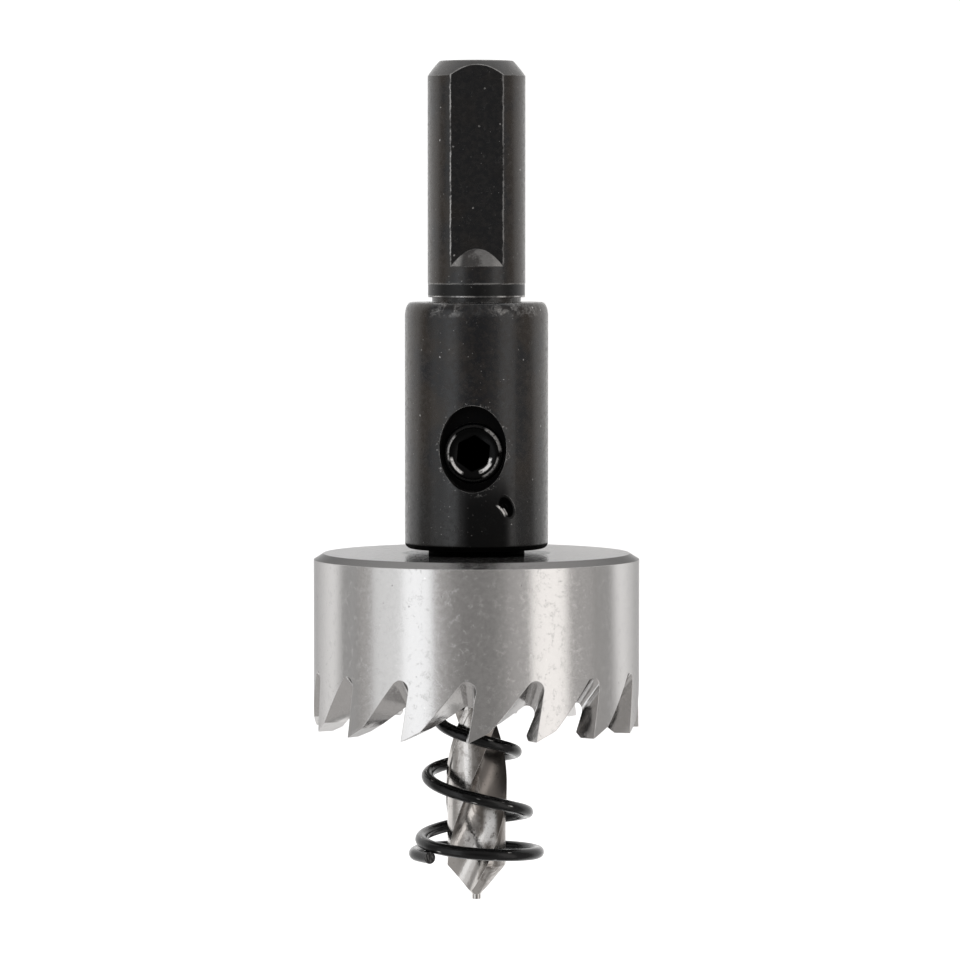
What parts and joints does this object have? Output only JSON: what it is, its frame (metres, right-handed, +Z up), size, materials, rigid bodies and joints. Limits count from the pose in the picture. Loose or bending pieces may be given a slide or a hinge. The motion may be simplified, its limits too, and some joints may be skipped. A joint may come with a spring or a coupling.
{
  "type": "hole saw",
  "caption": "Small hole saw: a toothed steel cup on a three-flat shank arbor, with a pilot drill held by a set screw and a conical ejector spring.",
  "frame": {"origin": "on the ground under the middle of the tool's overall box, as it lies at rest", "axes": "+Z up; the tool's axis lies in the YZ plane, the shank towards +Y and the pilot drill towards -Y; the set screw faces up"},
  "size_m": [0.026, 0.0659, 0.0284],
  "materials": {
    "black_steel": "black oxide, satin",
    "ground_steel": "ground",
    "drill_steel": "ground and polished",
    "screw_steel": "black oxide, worn bright on its rim",
    "spring_steel": "black, glossy"
  },
  "bodies": {
    "root": {"arbor": "black_steel", "cutter_cup": "ground_steel", "pilot_drill": "drill_steel", "set_screw": "screw_steel", "ejector_spring": "spring_steel"}
  },
  "joints": []
}
